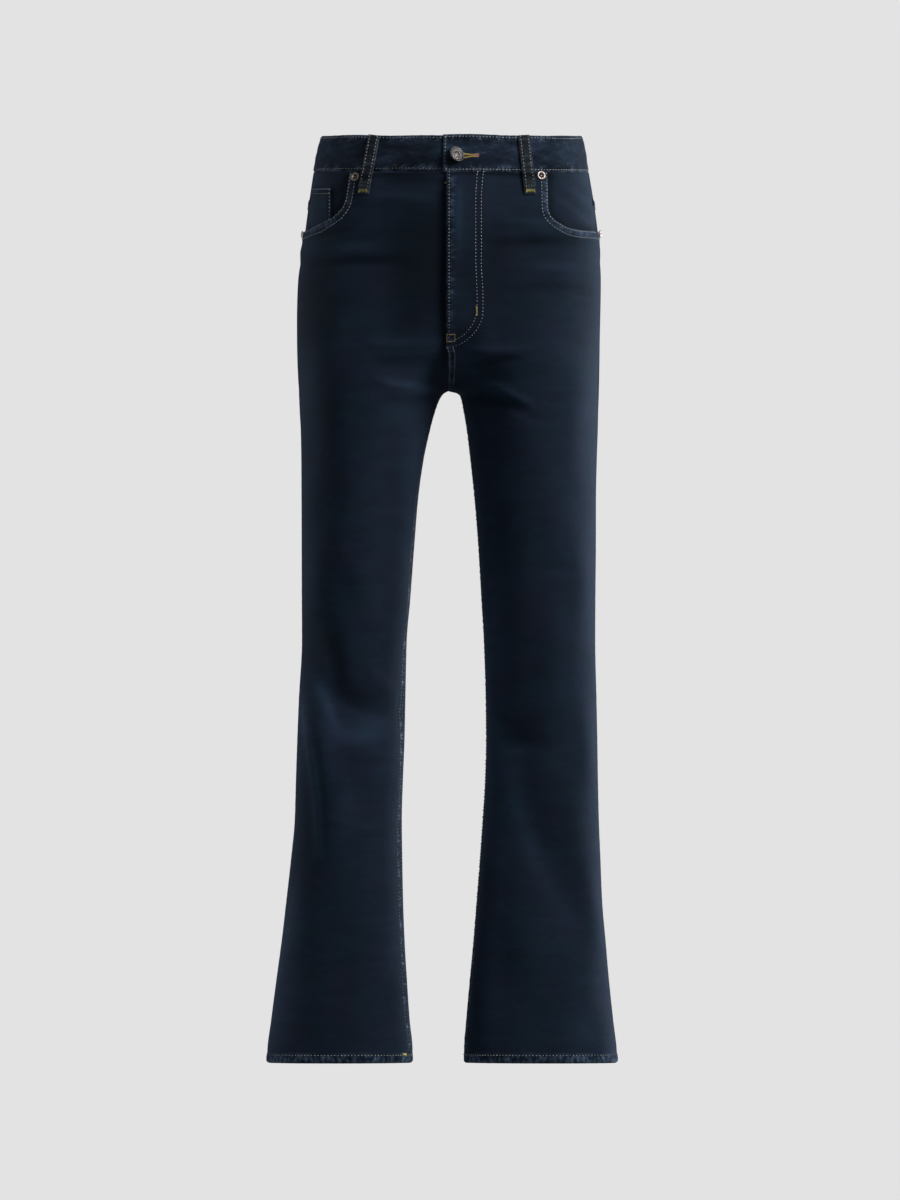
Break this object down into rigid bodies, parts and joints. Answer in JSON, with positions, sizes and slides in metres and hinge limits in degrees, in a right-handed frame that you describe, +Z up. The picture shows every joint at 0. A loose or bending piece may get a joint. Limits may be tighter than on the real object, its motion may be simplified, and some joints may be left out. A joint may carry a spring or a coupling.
{
  "type": "jeans",
  "caption": "High-rise bootcut denim trousers standing filled out with no wearer, with scooped hip pockets, belt loops, a button waistband and a covered fly",
  "frame": {"origin": "middle of the waist opening, level with the top of the waistband at the sides", "axes": "+Z up to the waist, -Y the garment's front, +X the wearer's left"},
  "size_m": [0.3964, 0.2473, 1.0631],
  "materials": {
    "front_left": "dark indigo stretch denim, matte twill",
    "front_right": "dark indigo stretch denim, matte twill",
    "back_left": "dark indigo stretch denim, matte twill",
    "back_right": "dark indigo stretch denim, matte twill",
    "yoke_left": "dark indigo stretch denim, matte twill",
    "yoke_right": "dark indigo stretch denim, matte twill",
    "pocket_facing_left": "dark indigo stretch denim, matte twill",
    "pocket_facing_right": "dark indigo stretch denim, matte twill",
    "back_pocket_left": "dark indigo stretch denim, matte twill",
    "back_pocket_right": "dark indigo stretch denim, matte twill",
    "coin_pocket": "dark indigo stretch denim, matte twill",
    "fly_shield": "dark indigo stretch denim, matte twill",
    "waistband": "dark indigo stretch denim, matte twill",
    "loop_front_left": "dark indigo stretch denim, matte twill",
    "loop_front_right": "dark indigo stretch denim, matte twill",
    "loop_side_left": "dark indigo stretch denim, matte twill",
    "loop_side_right": "dark indigo stretch denim, matte twill",
    "loop_back": "dark indigo stretch denim, matte twill",
    "zip": "dark woven zip tape",
    "button": "aged silver metal with a plain relief",
    "rivet_left": "dull aged metal",
    "rivet_right": "dull aged metal",
    "rivet_side_left": "dull aged metal",
    "rivet_side_right": "dull aged metal"
  },
  "bodies": {
    "root": {"front_left": "front_left", "front_right": "front_right", "back_left": "back_left", "back_right": "back_right", "yoke_left": "yoke_left", "yoke_right": "yoke_right", "pocket_facing_left": "pocket_facing_left", "pocket_facing_right": "pocket_facing_right", "back_pocket_left": "back_pocket_left", "back_pocket_right": "back_pocket_right", "coin_pocket": "coin_pocket", "fly_shield": "fly_shield", "waistband": "waistband", "loop_front_left": "loop_front_left", "loop_front_right": "loop_front_right", "loop_side_left": "loop_side_left", "loop_side_right": "loop_side_right", "loop_back": "loop_back", "zip": "zip", "button": "button", "rivet_left": "rivet_left", "rivet_right": "rivet_right", "rivet_side_left": "rivet_side_left", "rivet_side_right": "rivet_side_right"}
  },
  "joints": []
}
